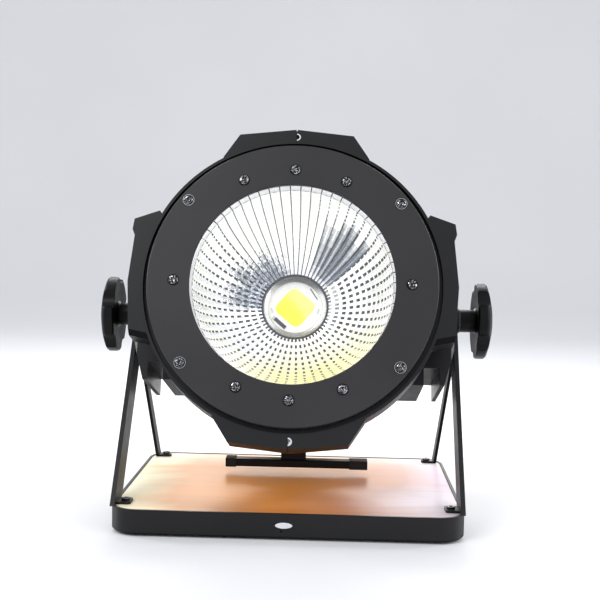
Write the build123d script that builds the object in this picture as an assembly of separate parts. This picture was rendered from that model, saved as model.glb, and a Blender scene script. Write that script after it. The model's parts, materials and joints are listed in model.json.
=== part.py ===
from build123d import *
import os
import math

# ------------------------------------------------------------------
# Stage par light: tilting round head on a low weighted tray base.
# +Z up, -Y is the front (light leaves towards -Y), floor at z = 0.
# The tilt axis runs along X above the origin. Millimetres, degrees.
# ------------------------------------------------------------------

# stand
BASE_HALF_W = 150.0      # half width of the tray
BASE_FRONT = -158.0      # front edge of the tray
BASE_REAR = 82.0        # rear edge of the tray
BASE_R = 24.0            # corner radius in plan
FOOT_H = 1.8             # rubber feet below the tray
BASE_TOP = 22.8          # top of the rim
RIM_T = 2.5              # rim wall
FLOOR_T = 2.0            # tray bottom sheet
DECK_T = 3.0             # deck plate
DECK_DROP = 0.5          # deck lies this far below the rim
PIVOT_Z = 174.0          # tilt axis above the floor
LEG_IN = 148.0           # inner face of the front legs
LEG_T = 4.0
LEG_W = 28.0
STAY_T = 3.0
STAY_W = 12.0
LEG_FOOT_Y = -131.0      # where the front legs land
STAY_FOOT_Y = 66.0       # where the rear stays land
TAB_T = 2.2             # thickness of the feet of legs and stays

# head
TILT = 18.5              # upward tilt at rest
PLATE_R = 125.0          # front plate outer radius
PLATE_HOLE_R = 88.4      # clear opening
PLATE_FRONT = -125.0     # front plane, measured along the head axis
PLATE_T = 3.0
DECK_Y = -112.0          # seat of the front plate inside the shell
RIM_FRONT = -119.0       # front edge of the shell
RIM_REAR = -91.0         # rear face of the lugs
RIM_IN = 129.0           # inner radius of the front rim
RIM_OUT = 131.5          # outer radius of the front rim
LUG_APEX = 142.4         # radius at the crest of each lug
SMALL_PCR = 102.0        # pitch radius of the small screws
LARGE_PCR = 117.3        # pitch radius of the large screws
SMALL_ANGLES = [0, 26, 90, 154, 180, 206, 270, 334]
LARGE_ANGLES = [52, 128, 232, 308]
REAR_Y = 100.0           # rear edge of the shell
REAR_R = 95.0
CHEEK_X = 146.5          # outer face of the pivot cheeks
LED_Y = -36.0            # mounting plane of the light source

EYE_R = 7.0              # hole of the safety eye

# pivot hardware
STUD_R = 5.0
KNOB_HUB_IN = 156.2
KNOB_WING_IN = 171.0
KNOB_WING_OUT = 186.5
KNOB_WING_R = 36.0

# shift that puts the origin under the middle of the overall box
ORIGIN_Y = 15.06

os.makedirs("parts", exist_ok=True)


def save(shape, name):
    export_step(Pos(0, ORIGIN_Y, 0) * shape, "parts/" + name + ".step")


def cyl_y(r, y0, y1, x=0.0, z=0.0):
    c = Cylinder(r, abs(y1 - y0))
    return Pos(x, (y0 + y1) / 2.0, z) * Rot(90, 0, 0) * c


def cyl_x(r, x0, x1, y=0.0, z=0.0):
    c = Cylinder(r, abs(x1 - x0))
    return Pos((x0 + x1) / 2.0, y, z) * Rot(0, 90, 0) * c


def cyl_z(r, z0, z1, x=0.0, y=0.0):
    c = Cylinder(r, abs(z1 - z0))
    return Pos(x, y, (z0 + z1) / 2.0) * c


def box(x0, x1, y0, y1, z0, z1):
    return Pos((x0 + x1) / 2.0, (y0 + y1) / 2.0, (z0 + z1) / 2.0) * Box(
        abs(x1 - x0), abs(y1 - y0), abs(z1 - z0))


def turned(points):
    """Solid of revolution about Y from (radius, y) points."""
    face = make_face(Polyline(*[(p[0], p[1], 0) for p in points], close=True))
    return revolve(face, Axis.Y, 360)


def prism_y(points, y0, y1):
    """Prism along Y from (x, z) points."""
    w = Polyline(*[(p[0], y0, p[1]) for p in points], close=True)
    return extrude(make_face(w), amount=abs(y1 - y0), dir=(0, 1, 0))


def prism_x(points, x0, x1):
    """Prism along X from (y, z) points."""
    w = Polyline(*[(x0, p[0], p[1]) for p in points], close=True)
    return extrude(make_face(w), amount=abs(x1 - x0), dir=(1, 0, 0))


def polar(r, deg):
    """Clockwise from the top, seen from the front."""
    a = math.radians(deg)
    return r * math.sin(a), r * math.cos(a)


def group(items):
    return Compound([s for it in items for s in it.solids()])


HEAD = Pos(0, 0, PIVOT_Z) * Rot(-TILT, 0, 0)


def head(shape):
    return HEAD * shape


def save_group(items, name):
    """Several loose solids in one file, each already in its final place."""
    done = [Pos(0, ORIGIN_Y, 0) * s for it in items for s in it.solids()]
    export_step(Compound(done), "parts/" + name + ".step")


# ------------------------------------------------------------------ stand
base_w = 2 * BASE_HALF_W
base_d = BASE_REAR - BASE_FRONT
base_cy = (BASE_REAR + BASE_FRONT) / 2.0


def slab(inset, z0, z1):
    r = max(BASE_R - inset, 1.0)
    s = RectangleRounded(base_w - 2 * inset, base_d - 2 * inset, r)
    return Pos(0, base_cy, z0) * extrude(s, amount=z1 - z0)


outer = slab(0, FOOT_H, BASE_TOP)
outer = chamfer(outer.edges().group_by(Axis.Z)[0], 1.6)
tray = outer - slab(RIM_T, FOOT_H + FLOOR_T, BASE_TOP + 1)
deck_top = BASE_TOP - DECK_DROP
deck_bot = deck_top - DECK_T
post_xy = [(x, LEG_FOOT_Y) for x in (-139, 139)] + [(x, STAY_FOOT_Y) for x in (-134, 134)] + [
    (0, -128), (0, 66)]
for x, y in post_xy:
    tray += cyl_z(6.0, FOOT_H + FLOOR_T - 0.5, deck_bot, x, y)
for x, y in post_xy[:4]:
    tray -= cyl_z(2.1, FOOT_H + 4, deck_bot + 1, x, y)
# oval hole in the middle of the front rim
hole_z = (FOOT_H + BASE_TOP) / 2.0 + 0.4
oval = extrude(Pos(0, 0, 0) * Ellipse(7.8, 3.1), amount=12)
tray -= Pos(-2.0, BASE_FRONT + 6, hole_z) * Rot(90, 0, 0) * oval
tray -= cyl_y(0.8, BASE_FRONT - 2, BASE_FRONT + 6, -4.0, hole_z - 4.8)
save(tray, "base_tray")

# bright blanking plug pressed into the oval hole from inside
plug_face = extrude(Ellipse(7.72, 3.02), amount=RIM_T - 0.3)
plug_flange = extrude(Ellipse(9.6, 4.6), amount=1.2)
plug = Pos(-2.0, BASE_FRONT + RIM_T, hole_z) * Rot(90, 0, 0) * plug_face
plug += Pos(-2.0, BASE_FRONT + RIM_T + 1.2, hole_z) * Rot(90, 0, 0) * plug_flange
plug = chamfer(plug.edges().group_by(Axis.Y)[0], 0.5)
save(plug, "rim_plug")

deck = slab(RIM_T + 0.25, deck_bot, deck_top)
deck = chamfer(deck.edges().group_by(Axis.Z)[-1], 0.3)
for x, y in post_xy[:4]:
    deck -= cyl_z(2.2, deck_bot - 1, deck_top + 1, x, y)
save(deck, "base_deck")

ballast = box(-112, 112, -104, 52, FOOT_H + FLOOR_T, FOOT_H + FLOOR_T + 9)
ballast = fillet(ballast.edges().filter_by(Axis.Z), 8)
save(ballast, "ballast_plate")

feet = []
for x in (-122, 122):
    for y in (-132, 56):
        feet.append(cyl_z(9, 0, FOOT_H, x, y))
save_group(feet, "rubber_feet")


def strut(side, x_in, t, w, foot_y, foot_len, bend, screw_x):
    """Flat bar from the pivot to the deck with an inward foot.

    It is built for the right-hand side and mirrored. Below the eye it bends
    inward by the given angle about a line across the bar."""
    top_y, top_z = 0.0, PIVOT_Z
    dy, dz = foot_y, deck_top - PIVOT_Z
    n = math.hypot(dy, dz)
    uy, uz = dy / n, dz / n
    ny, nz = -uz * w / 2.0, uy * w / 2.0

    def piece(s0, s1):
        pts = [(uy * s0 + ny, top_z + uz * s0 + nz), (uy * s1 + ny, top_z + uz * s1 + nz),
               (uy * s1 - ny, top_z + uz * s1 - nz), (uy * s0 - ny, top_z + uz * s0 - nz)]
        return prism_x(pts, x_in, x_in + t)

    knee = 24.0
    if bend == 0:
        bar = piece(0, n + w)
    else:
        pivot = (x_in, uy * knee, top_z + uz * knee)
        axis = Axis(pivot, (0, -uz, uy))
        low = piece(knee, n + w)
        turned_in = low.rotate(axis, bend)
        probe = turned_in.bounding_box().min.X
        if probe > x_in - 1:
            turned_in = low.rotate(axis, -bend)
        wedge = piece(knee - 0.6, knee + 0.6)
        bar = piece(0, knee) + wedge + turned_in
    eye_r = max(w / 2.0, 12.0)
    bar = bar + cyl_x(eye_r, x_in, x_in + t, 0, PIVOT_Z)
    floor_z = BASE_TOP + 0.1
    bar = bar - box(0, 400, -400, 400, -200, floor_z)
    bar = bar - cyl_x(STUD_R + 0.3, x_in - 1, x_in + t + 1, 0, PIVOT_Z)
    x_low = x_in - math.sin(math.radians(bend)) * (n - knee)
    fx0, fx1 = screw_x - 5.0, x_low + t - (0.4 if bend else 0.0)
    y0, y1 = foot_y - foot_len / 2, foot_y + foot_len / 2
    foot = box(fx0, fx1, y0, y1, deck_top, deck_top + TAB_T)
    clear = slab(RIM_T + 0.25, 0, BASE_TOP + 0.1)
    over = box(fx0, fx1, y0, y1, BASE_TOP + 0.1, deck_top + TAB_T)
    foot = (foot & clear) + over
    foot = fillet(foot.edges().filter_by(Axis.Z).sort_by(Axis.X)[:2], 3)
    foot = foot - cyl_z(2.2, 0, 60, screw_x, foot_y)
    out = bar + foot
    return out if side > 0 else mirror(out, about=Plane.YZ)


for side, tag in ((-1, "left"), (1, "right")):
    save(strut(side, LEG_IN, LEG_T, LEG_W, LEG_FOOT_Y, 17, 0.7, 139.0), "front_leg_" + tag)
    save(strut(side, LEG_IN + LEG_T, STAY_T, STAY_W, STAY_FOOT_Y, 11, 4.6, 134.0), "rear_stay_" + tag)

leg_screws = []
for x, y in post_xy[:4]:
    z = deck_top + TAB_T
    s = cyl_z(2.0, FOOT_H + 6, z, x, y) + cyl_z(3.6, z, z + 1.8, x, y)
    s = s - Pos(x, y, z + 0.9) * extrude(RegularPolygon(1.6, 6), amount=2)
    leg_screws.append(s)
save_group(leg_screws, "leg_screws")

washers = []
for side in (-1, 1):
    a, b = side * (CHEEK_X + 0.1), side * (LEG_IN - 0.0)
    w = cyl_x(19, min(a, b), max(a, b), 0, PIVOT_Z) - cyl_x(STUD_R + 0.3, -200, 200, 0, PIVOT_Z)
    washers.append(w)
save_group(washers, "friction_washers")

# ------------------------------------------------------------------ shell
outer_pts = [(0, RIM_FRONT), (RIM_OUT, RIM_FRONT), (RIM_OUT, -88), (127, -80), (122, -20),
             (118, 20), (104, 80), (REAR_R, REAR_Y), (0, REAR_Y)]
inner_pts = [(0, -108), (128, -108), (128, -89), (123.6, -79.5), (118.6, -19.5),
             (114.7, 19.5), (100.9, 79), (93.4, 96), (82, 96), (82, REAR_Y + 1), (0, REAR_Y + 1)]
body = turned(outer_pts)
cavity = turned(inner_pts)
pocket = cyl_y(RIM_IN, RIM_FRONT - 1, DECK_Y)
throat = cyl_y(90.0, DECK_Y - 1, -107)

shell = body
lug_tb = [(-64.5, 115.5), (-50.5, 137.0), (0, LUG_APEX), (50.5, 137.0), (64.5, 115.5), (40, 100), (-40, 100)]
# the side lugs reach further up than down, with a small step near the upper end
lug_side = [(-64.5, 118), (-56.5, 139.8), (-47, 141.0), (-41.5, 138.8), (0, LUG_APEX), (47, 139.0), (51, 119.5),
            (40, 100), (-40, 100)]
lug_len = RIM_REAR - RIM_FRONT


def lug(points, quarter):
    p = prism_y(points, RIM_FRONT, RIM_REAR)
    if quarter in (90, 270):
        # sloping facet at the lower end
        s = 1 if quarter == 90 else -1
        low = [e for e in p.edges().group_by(Axis.Y)[0] if s * e.center().X > 46.5 and e.center().Z > 125]
        p = chamfer(low, 4.5)
    p = Rot(0, quarter, 0) * p
    return p


lug_side_left = [(-a, b) for a, b in reversed(lug_side)]
for pts, q in ((lug_tb, 0), (lug_tb, 180), (lug_side, 90), (lug_side_left, 270)):
    shell += lug(pts, q)

# cheeks that carry the pivots
cheek_pts = [(100, -72), (137, -72), (CHEEK_X, -38), (CHEEK_X, 45), (134, 70), (100, 70)]
cheek_in = [(100, -48), (141.5, -48), (143.2, -38), (143.2, 43.5), (132.5, 66.5), (100, 66.5)]
for side in (-1, 1):
    c = prism_y([(side * x, z) for x, z in cheek_pts], -46, 40)
    c = chamfer(c.edges().filter_by(Axis.Z).sort_by(Axis.X)[-2:] if side > 0 else
                c.edges().filter_by(Axis.Z).sort_by(Axis.X)[:2], 3.0)
    shell += c
    cavity += prism_y([(side * x, z) for x, z in cheek_in], -42.5, 36.5)

# cooling ribs round the rear half
rib_band = turned([(112, 44), (116.4, 44), (107.6, 80), (99.6, 97.5), (90, 97.5)])
plates = []
for i in range(36):
    a = 5 + i * 10
    plates.append(Rot(0, a, 0) * box(-1.2, 1.2, 40, 100, 60, 130))
ribs = rib_band & Compound(children=plates)
shell = shell + list(ribs.solids())

shell = shell - cavity - pocket - throat
# vent slots between the ribs
slots = []
for i in range(36):
    a = i * 10
    if a in (0, 180) or 160 <= a <= 200 or a in (350, 10):
        continue
    slots.append(Rot(0, a, 0) * box(-1.6, 1.6, 52, 76, 80, 125))
shell = shell - slots
# see-through notch between each cheek and the round body
for side in (-1, 1):
    x0, x1 = sorted((side * 118.5, side * 133.0))
    shell -= box(x0, x1, -60, 60, -80, -56)
# pivot bosses
for side in (-1, 1):
    a, b = sorted((side * 108.0, side * (CHEEK_X - 0.5)))
    shell += cyl_x(16, a, b)
    a, b = sorted((side * 100.0, side * 150.0))
    shell -= cyl_x(9.0, a, b)
# seam clip pockets at the crests of the top and bottom lugs, in the right-hand half, and the seam's fine groove
for s in (-1, 1):
    shell -= cyl_y(3.6, RIM_FRONT - 1, -104, 0, s * 135.6) & box(0, 10, -200, 0, -200, 200)
    z0, z1 = sorted((s * 130.5, s * 145.0))
    shell -= box(-0.45, 0.45, RIM_FRONT - 1, RIM_FRONT + 0.9, z0, z1)
    z0, z1 = sorted((s * (LUG_APEX - 0.9), s * (LUG_APEX + 2)))
    shell -= box(-0.45, 0.45, RIM_FRONT - 1, RIM_REAR + 1, z0, z1)
# screw holes in the seat
for a in SMALL_ANGLES:
    x, z = polar(SMALL_PCR, a)
    shell -= cyl_y(2.1, DECK_Y - 1, -107, x, z)
for a in LARGE_ANGLES:
    x, z = polar(LARGE_PCR, a)
    shell -= cyl_y(2.6, DECK_Y - 1, -107, x, z)
COVER_ANGLES = [20, 90, 160, 200, 270, 340]
for a in COVER_ANGLES:
    x, z = polar(87.5, a)
    shell -= cyl_y(1.6, 95, REAR_Y + 1, x, z)

big = 400
left_half = box(-big, 0, -big, big, -big, big)
right_half = box(0, big, -big, big, -big, big)
left_shell = shell & left_half
right_shell = shell & right_half


def biggest(s):
    sol = sorted(s.solids(), key=lambda q: -q.volume)
    return sol[0]


save(head(biggest(left_shell)), "left_shell")
save(head(biggest(right_shell)), "right_shell")

pins = []
for s in (-1, 1):
    p = cyl_y(3.5, -118.4, -104.0, 0, s * 135.6) - cyl_y(2.3, -119, -106.0, 0.0, s * 135.6)
    p = p & box(0.05, 10, -200, 0, -200, 200)
    pins.append(p)
save_group([head(q) for q in pins], "seam_pins")

inserts = []
for side in (-1, 1):
    a, b = sorted((side * 112.0, side * CHEEK_X))
    inserts.append(cyl_x(9.0, a, b) - cyl_x(STUD_R + 0.05, a - 1, b + 1))
save_group([head(q) for q in inserts], "pivot_inserts")

# ------------------------------------------------------------------ front
plate = cyl_y(PLATE_R, PLATE_FRONT, DECK_Y) - cyl_y(PLATE_R - 2.5, PLATE_FRONT + PLATE_T, DECK_Y + 1)
for a in SMALL_ANGLES:
    x, z = polar(SMALL_PCR, a)
    plate += cyl_y(4.4, PLATE_FRONT + 1, DECK_Y, x, z)
for a in LARGE_ANGLES:
    x, z = polar(LARGE_PCR, a)
    plate += cyl_y(5.4, PLATE_FRONT + 1, DECK_Y, x, z)
plate -= cyl_y(PLATE_HOLE_R, PLATE_FRONT - 1, DECK_Y + 1)
for a in SMALL_ANGLES:
    x, z = polar(SMALL_PCR, a)
    plate -= cyl_y(2.2, PLATE_FRONT - 1, DECK_Y + 1, x, z)
for a in LARGE_ANGLES:
    x, z = polar(LARGE_PCR, a)
    plate -= cyl_y(2.7, PLATE_FRONT - 1, DECK_Y + 1, x, z)
front_edges = plate.edges().group_by(Axis.Y)[0].sort_by(lambda e: e.length)
plate = chamfer(front_edges[-2:], 0.6)
save(head(plate), "front_plate")


def cap_screw(r_head, h_head, r_shank, y_head, y_end, hexr, x, z):
    s = cyl_y(r_head, y_head - h_head, y_head)
    s = fillet(s.edges().group_by(Axis.Y)[0], h_head * 0.45)
    s += cyl_y(r_shank, y_head, y_end)
    s -= Pos(0, y_head - h_head + 1.3, 0) * Rot(90, 0, 0) * extrude(RegularPolygon(hexr, 6), amount=4)
    return Pos(x, 0, z) * s


small = [cap_screw(4.3, 2.2, 2.0, PLATE_FRONT, -108.5, 2.1, *polar(SMALL_PCR, a)) for a in SMALL_ANGLES]
save_group([head(q) for q in small], "plate_screws_small")
large = [cap_screw(5.2, 2.8, 2.5, PLATE_FRONT, -108.5, 2.6, *polar(LARGE_PCR, a)) for a in LARGE_ANGLES]
save_group([head(q) for q in large], "plate_screws_large")

gasket = cyl_y(96.8, PLATE_FRONT + PLATE_T, -117.5) - cyl_y(90.0, -130, -110)
save(head(gasket), "glass_gasket")
glass = cyl_y(96.5, -117.5, -113.5)
glass = chamfer(glass.edges(), 0.5)
save(head(glass), "front_glass")

# reflector: thin turned bowl
inner_curve = [(87.5, -113.5), (85.6, -104), (81.8, -92), (76.0, -80), (67.8, -68), (57.0, -57),
               (43.0, -47.0), (29.8, -40.5)]
outer_curve = [(31.3, -39.1), (44.2, -45.6), (58.1, -55.7), (69.0, -66.8), (77.4, -79.2),
               (83.3, -91.5), (87.1, -103.7), (89.0, -112)]
reflector_pts = inner_curve + [(29.8, -37.6), (36.0, -37.6), (36.0, -39.1)] + outer_curve[1:] + [
    (96.5, -112), (96.5, -113.5)]
reflector = turned(reflector_pts)
save(head(reflector), "reflector")

ring = turned([(23.6, -37.6), (23.6, -41.0), (25.2, -43.0), (27.4, -43.0), (29.4, -41.2), (29.4, -37.6)])
save(head(ring), "led_ring")
board = cyl_y(29.4, -37.6, LED_Y)
save(head(board), "led_board")
emitter = Rot(0, 40, 0) * box(-14, 14, -39.0, -37.6, -14, 14)
emitter = fillet(emitter.edges().filter_by(Axis.Y), 3)
save(head(emitter), "led_emitter")

# ------------------------------------------------------------------ inside
bulkhead = cyl_y(118.3, LED_Y, LED_Y + 3) - cyl_y(46, LED_Y - 1, LED_Y + 4)
for side in (-1, 1):
    bulkhead -= box(side * 100 - 20, side * 100 + 20, LED_Y - 1, LED_Y + 4, -90, -50)
for a in range(0, 360, 45):
    x, z = polar(92, a + 22.5)
    bulkhead -= cyl_y(12, LED_Y - 1, LED_Y + 4, x, z)
save(head(bulkhead), "bulkhead_plate")

sink = cyl_y(45.5, LED_Y, LED_Y + 3) + cyl_y(62, LED_Y + 3, LED_Y + 11)
fins = []
for i in range(30):
    fins.append(Rot(0, i * 12, 0) * box(-0.9, 0.9, LED_Y + 10, 10, 24, 96))
sink = sink + fins
sink += cyl_y(26, LED_Y + 10, 10)
save(head(sink), "heat_sink")

FAN0, FAN1 = 10.0, 35.0
frame = box(-46, 46, FAN0, FAN1, -46, 46)
frame = fillet(frame.edges().filter_by(Axis.Y), 5)
frame -= cyl_y(44, FAN0 - 1, FAN1 + 1)
hub = cyl_y(17, FAN1 - 3, FAN1)
for i in range(4):
    hub += Rot(0, i * 90, 0) * box(-2, 2, FAN1 - 3, FAN1, 10, 45)
frame += hub
frame += cyl_y(2.0, FAN0 + 6, FAN1 - 2)
for x in (-41, 41):
    for z in (-41, 41):
        frame -= cyl_y(2.0, FAN0 - 1, FAN1 + 1, x, z)
save(head(frame), "fan_frame")

rotor = cyl_y(18, FAN0 + 2, FAN1 - 4)
blade_pts = []
for i in range(7):
    b = box(-1.0, 1.0, FAN0 + 3, FAN1 - 5, 16, 42)
    b = Rot(0, 0, 0) * b
    b = Rot(0, i * 360.0 / 7, 0) * (Pos(0, 22, 0) * Rot(0, 0, 32) * Pos(0, -22, 0) * b)
    rotor += b
rotor = rotor & cyl_y(42.6, FAN0 + 1.5, FAN1 - 4)
rotor -= cyl_y(2.05, FAN0 + 5.5, FAN1)
save(head(rotor), "fan_rotor")

fan_screws = []
for x in (-41, 41):
    for z in (-41, 41):
        fan_screws.append(cyl_y(1.9, FAN0, FAN1, x, z) + cyl_y(3.6, FAN1, FAN1 + 2.2, x, z))
save_group([head(q) for q in fan_screws], "fan_screws")

bracket = box(-52, 52, 44, REAR_Y, 2.0, 4.0) + box(-52, 52, REAR_Y - 2, REAR_Y, 2.0, 14.0)
save(head(bracket), "driver_bracket")
driver = box(-46, 46, 46, 84, 4.0, 40.0)
driver = fillet(driver.edges().filter_by(Axis.Y), 2)
save(head(driver), "driver_box")

board2 = box(-34, 34, 91, 92.6, 16, 64)
save(head(board2), "control_board")

# ------------------------------------------------------------------ rear
cover = cyl_y(REAR_R, REAR_Y, REAR_Y + 3.5)
cover = chamfer(cover.edges().group_by(Axis.Y)[-1], 1.2)
COVER = REAR_Y + 3.5
for x in (-30, 30):
    for z in (20, 60):
        cover += cyl_y(2.6, 92.6, REAR_Y + 1, x, z)
cover -= box(-22, 22, 95, 110, 40, 56)
BTN_X = (-21, -7, 7, 21)
BTN_Z = 25.0
for x in BTN_X:
    cover -= cyl_y(4.4, 95, 110, x, BTN_Z)
SOCK = {"power_in_socket": (-54, -26), "power_out_socket": (-18, -34),
        "data_in_socket": (18, -34), "data_out_socket": (54, -26)}
for x, z in SOCK.values():
    cover -= cyl_y(11.2, 95, 110, x, z)
cover -= cyl_y(6.2, 95, 110, 0, -66)
for side in (-1, 1):
    for k in range(6):
        z = 8 + k * 8
        w = 18 if k < 4 else 12
        cover -= box(side * 54 - w, side * 54 + w, 95, 110, z, z + 3.4)
for a in COVER_ANGLES:
    x, z = polar(87.5, a)
    cover -= cyl_y(1.8, 95, 110, x, z)
save(head(cover), "rear_cover")

cs = []
for a in COVER_ANGLES:
    x, z = polar(87.5, a)
    s = cyl_y(1.5, 97, COVER, x, z) + cyl_y(3.2, COVER, COVER + 2.0, x, z)
    s -= box(x - 4, x + 4, COVER + 1.2, COVER + 3, z - 0.5, z + 0.5)
    cs.append(s)
save_group([head(q) for q in cs], "cover_screws")

panel = box(-33, 33, COVER, COVER + 2.2, 13, 66)
panel = fillet(panel.edges().filter_by(Axis.Y), 4)
panel -= box(-20, 20, COVER - 1, COVER + 4, 41.5, 54.5)
for x in BTN_X:
    panel -= cyl_y(4.3, COVER - 1, COVER + 4, x, BTN_Z)
save(head(panel), "control_panel")
window = box(-20, 20, COVER - 0.1, COVER + 1.8, 41.5, 54.5) + box(-21.5, 21.5, COVER - 2.5, COVER, 40.5, 55.5)
save(head(window), "display_window")
BTN = ("button_menu", "button_down", "button_up", "button_enter")
for x, name in zip(BTN_X, BTN):
    b = cyl_y(4.0, 95.5, COVER + 5.0, x, BTN_Z)
    b = chamfer(b.edges().group_by(Axis.Y)[-1], 0.8)
    b += Pos(x, 0, BTN_Z) * (cyl_y(5.2, 95.5, 97.0))
    save(head(b), name)

for name, (x, z) in SOCK.items():
    power = name.startswith("power")
    fl = box(x - 13, x + 13, COVER, COVER + 2.4, z - 14.5, z + 14.5)
    fl = fillet(fl.edges().filter_by(Axis.Y), 4)
    s = fl + cyl_y(11.0, 88, COVER + 1, x, z) + cyl_y(11.5, COVER + 1, COVER + (12 if power else 7), x, z)
    s -= cyl_y(9.2, COVER - 8, COVER + 20, x, z)
    if power:
        for k in range(3):
            ang = 90 + 120 * k
            s += Pos(x, 0, z) * (Rot(0, ang, 0) * box(-1.9, 1.9, COVER - 9, COVER + 5, 6.0, 7.2))
    else:
        for k in range(3):
            ang = math.radians(90 + 120 * k)
            s += cyl_y(0.9, COVER - 9, COVER + 3, x + 6.2 * math.cos(ang), z + 6.2 * math.sin(ang))
        s -= box(x - 1.2, x + 1.2, COVER + 1, COVER + 9, z + 8, z + 10.5)
    for dx, dz in ((-9.5, 11), (9.5, -11)):
        s += cyl_y(1.9, COVER + 2, COVER + 3.4, x + dx, z + dz)
    save(head(s), name)

fuse = cyl_y(6.0, 84, COVER + 1, 0, -66) + cyl_y(8.0, COVER, COVER + 2.5, 0, -66) + cyl_y(
    6.4, COVER + 2, COVER + 9, 0, -66)
fuse -= box(-7, 7, COVER + 7.6, COVER + 10, -66.7, -65.3)
save(head(fuse), "fuse_holder")

# safety eye on the top of the shell, behind the ribs
env = turned(outer_pts) + turned([(0, 40), (116.4, 44), (107.6, 80), (99.6, 97.5), (0, 97.5)])
eye = cyl_x(12.0, -2.6, 2.6, 70, 124) + box(-2.6, 2.6, 58, 82, 100, 124)
eye += box(-9, 9, 58, 82, 100, 113.5)
eye -= cyl_x(EYE_R, -20, 20, 70, 124)
eye = eye - env
save(head(biggest(eye)), "safety_eye")

# ------------------------------------------------------------------ foot bar under the head
BAR_Z0, BAR_Z1 = 28.4, 37.0
BAR_Y0, BAR_Y1 = -8.0, 6.0
BAR_X0, BAR_X1 = -58.0, 66.0
bar = box(BAR_X0, BAR_X1, BAR_Y0, BAR_Y1, BAR_Z0 + 0.6, BAR_Z1 - 0.6)
bar = fillet(bar.edges().filter_by(Axis.X), 1.5)
save(bar, "foot_bar")
pads = []
for x0, x1 in ((-65.5, -55.5), (54.0, 71.5)):
    p = box(x0, x1, BAR_Y0 - 0.8, BAR_Y1 + 0.8, BAR_Z0, BAR_Z1)
    p = fillet(p.edges().filter_by(Axis.X), 1.2)
    p -= fillet(box(BAR_X0, BAR_X1, BAR_Y0, BAR_Y1, BAR_Z0 + 0.6, BAR_Z1 - 0.6).edges().filter_by(Axis.X), 1.5)
    pads.append(p)
save_group(pads, "foot_bar_pads")
neck = box(-12, 12, BAR_Y0 + 2, BAR_Y1 - 2, BAR_Z1 - 0.6, BAR_Z1 + 34)
neck = neck - head(env)
neck = biggest(neck)
save(neck, "foot_bar_neck")

# ------------------------------------------------------------------ knobs
for side, tag, spin in ((-1, "left", 8), (1, "right", -6)):
    def lx(a, b):
        return sorted((side * a, side * b))
    a, b = lx(118.0, KNOB_WING_IN + 5)
    stud = cyl_x(STUD_R, a, b, 0, PIVOT_Z)
    save(stud, "knob_stud_" + tag)
    a, b = lx(KNOB_HUB_IN - 1.1, KNOB_HUB_IN)
    save(cyl_x(11.6, a, b, 0, PIVOT_Z) - cyl_x(STUD_R + 0.05, -220, 220, 0, PIVOT_Z), "knob_washer_" + tag)
    # five-lobed hand knob: long slim hub, domed outer face, lobes leaning towards the lamp
    prof = [(0, KNOB_HUB_IN), (10.9, KNOB_HUB_IN), (10.7, 169.5), (12.4, 171.6), (33.6, 170.4), (35.3, 171.0),
            (KNOB_WING_R, 172.4), (KNOB_WING_R, 178.8), (34.8, 180.6), (28, 183.0), (18, 185.3), (10, 186.3),
            (0, KNOB_WING_OUT)]
    knob = revolve(make_face(Polyline(*[(side * q, r, 0) for r, q in prof], close=True)), Axis.X)
    for i in range(5):
        t = math.radians(36 + 72 * i)
        knob -= cyl_x(12.0, -220, 220, -42.0 * math.cos(t), 42.0 * math.sin(t)) & box(
            *lx(KNOB_WING_IN - 3, 200), -80, 80, -80, 80)
    # round recess in the middle of the outer face
    knob -= cyl_x(6.5, *lx(185.2, 190))
    knob = knob - cyl_x(STUD_R, *lx(100, KNOB_WING_IN + 5))
    knob = Pos(0, 0, PIVOT_Z) * Rot(spin, 0, 0) * knob
    save(knob, "knob_" + tag)
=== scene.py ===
import bpy, bmesh, math, json, random
from mathutils import Vector, Matrix

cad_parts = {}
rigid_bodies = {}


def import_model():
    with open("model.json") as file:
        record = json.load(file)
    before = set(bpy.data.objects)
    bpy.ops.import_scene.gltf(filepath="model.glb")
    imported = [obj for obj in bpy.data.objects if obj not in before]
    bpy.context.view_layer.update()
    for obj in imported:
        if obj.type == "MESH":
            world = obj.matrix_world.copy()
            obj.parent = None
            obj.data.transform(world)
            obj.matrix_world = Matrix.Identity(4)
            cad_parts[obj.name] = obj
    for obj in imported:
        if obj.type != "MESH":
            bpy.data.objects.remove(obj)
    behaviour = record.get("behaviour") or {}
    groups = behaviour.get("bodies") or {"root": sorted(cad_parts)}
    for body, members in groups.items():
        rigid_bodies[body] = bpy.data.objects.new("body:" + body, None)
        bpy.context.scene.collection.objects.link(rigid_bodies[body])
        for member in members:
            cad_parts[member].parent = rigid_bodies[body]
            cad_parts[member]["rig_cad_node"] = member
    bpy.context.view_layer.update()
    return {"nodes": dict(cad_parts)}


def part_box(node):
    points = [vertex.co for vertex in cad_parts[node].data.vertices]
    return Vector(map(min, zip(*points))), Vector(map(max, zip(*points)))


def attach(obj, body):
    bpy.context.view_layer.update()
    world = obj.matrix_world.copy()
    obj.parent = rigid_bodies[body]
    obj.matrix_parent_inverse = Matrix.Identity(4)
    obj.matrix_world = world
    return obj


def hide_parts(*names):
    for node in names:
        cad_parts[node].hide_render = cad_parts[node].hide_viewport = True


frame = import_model()
random.seed(7)

# ---------------------------------------------------------------- frame facts (metres)
T = math.radians(18.5)            # upward tilt of the head at rest
PIV = Vector((0.0, 0.01506, 0.174))
HEAD = Matrix.Translation(PIV) @ Matrix.Rotation(-T, 4, 'X')   # head-local mm/1000 -> row frame


def mm(v):
    return v / 1000.0


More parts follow.
